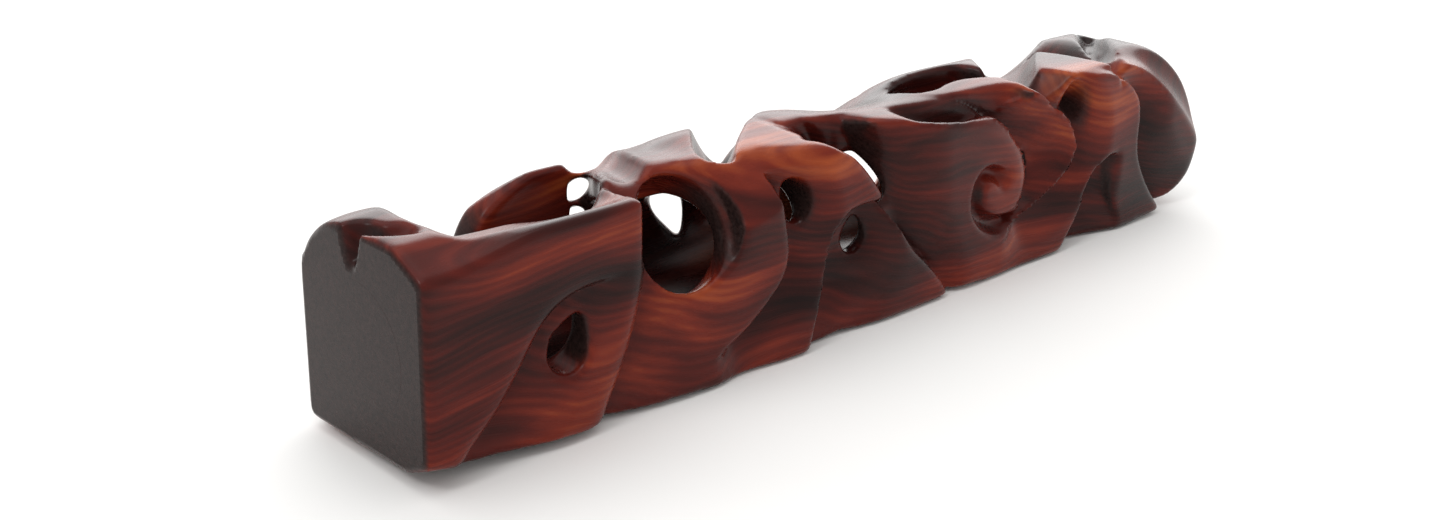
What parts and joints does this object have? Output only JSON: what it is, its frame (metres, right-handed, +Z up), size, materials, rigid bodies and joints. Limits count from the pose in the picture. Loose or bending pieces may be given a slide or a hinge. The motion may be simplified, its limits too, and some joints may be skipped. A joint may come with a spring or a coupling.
{
  "type": "dip pen holder",
  "caption": "Square-section hardwood bar, bored along its length for a dip pen and carved through with straps, scrolls and windows.",
  "frame": {"origin": "middle of the underside, on the surface that the holder lies on", "axes": "+X along the bar from the flat end to the carved, open end; +Z up; -Y is the side with the round window and the scroll"},
  "size_m": [0.21, 0.034, 0.038],
  "materials": {
    "rosewood": "polished",
    "rosewood_end_grain": "polished",
    "felt": "matte"
  },
  "bodies": {
    "root": {"carved_body": "rosewood", "end_plug": "rosewood_end_grain", "nib_pad": "felt"}
  },
  "joints": []
}
